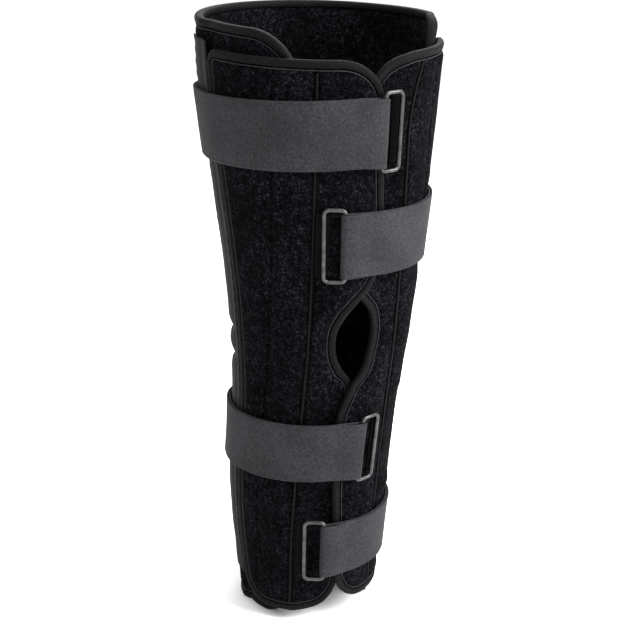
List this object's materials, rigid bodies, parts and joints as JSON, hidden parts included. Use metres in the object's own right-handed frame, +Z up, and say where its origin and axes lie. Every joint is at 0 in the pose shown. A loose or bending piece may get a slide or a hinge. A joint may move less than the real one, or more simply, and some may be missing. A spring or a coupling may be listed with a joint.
{
  "type": "knee immobilizer",
  "caption": "Padded knee brace with overlapping side panels, an opening for the knee cap and straps folded back through wire rings.",
  "frame": {"origin": "on the floor under the middle of the brace, which stands on the back panel's bound lower edge", "axes": "+Z up along the leg, the knee cap faces -Y, and the left panel is on the -X side"},
  "size_m": [0.19, 0.1924, 0.484],
  "materials": {
    "padding": "brushed loop cloth over foam",
    "binding": "woven edge tape",
    "tape": "woven tape",
    "webbing": "knitted stretch webbing",
    "tab": "woven tape",
    "wire": "satin gunmetal"
  },
  "bodies": {
    "root": {"back_panel": "padding", "back_binding": "binding", "left_panel": "padding", "left_binding": "binding", "right_panel": "padding", "right_binding": "binding", "left_rear_tape": "tape", "right_rear_tape": "tape", "strap_1": "webbing", "ring_1": "wire", "ring_tab_1": "tab", "strap_2": "webbing", "ring_2": "wire", "ring_tab_2": "tab", "strap_3": "webbing", "ring_3": "wire", "ring_tab_3": "tab", "strap_4": "webbing", "ring_4": "wire", "ring_tab_4": "tab"}
  },
  "joints": []
}
